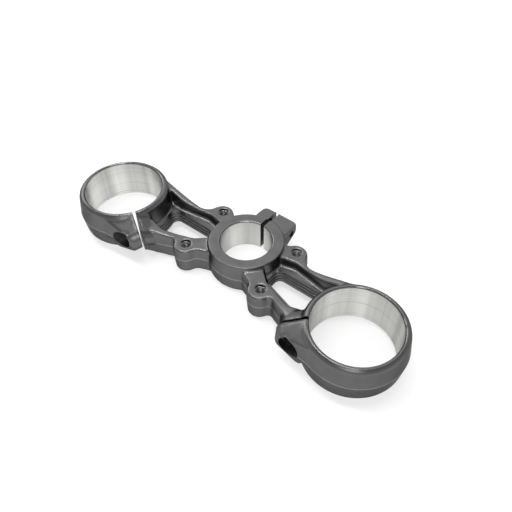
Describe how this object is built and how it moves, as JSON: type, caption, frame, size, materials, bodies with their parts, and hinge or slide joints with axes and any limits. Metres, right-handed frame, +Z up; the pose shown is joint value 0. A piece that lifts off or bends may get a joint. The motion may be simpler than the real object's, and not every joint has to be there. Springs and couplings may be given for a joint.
{
  "type": "motorcycle triple clamp",
  "caption": "Upper triple clamp of a motorcycle: split rings grip the fork legs, a split hub grips the steering stem, and pocketed arms carry bosses for the handlebar mounts.",
  "frame": {"origin": "on the steering stem axis, at the underside of the hub", "axes": "+Z up along the stem, +X to the right fork leg, -Y to the front of the motorcycle"},
  "size_m": [0.2578, 0.088, 0.0308],
  "materials": {
    "anodised_aluminium": "satin grey anodised forging with bare machined bores"
  },
  "bodies": {
    "root": {"triple_clamp": "anodised_aluminium"}
  },
  "joints": []
}
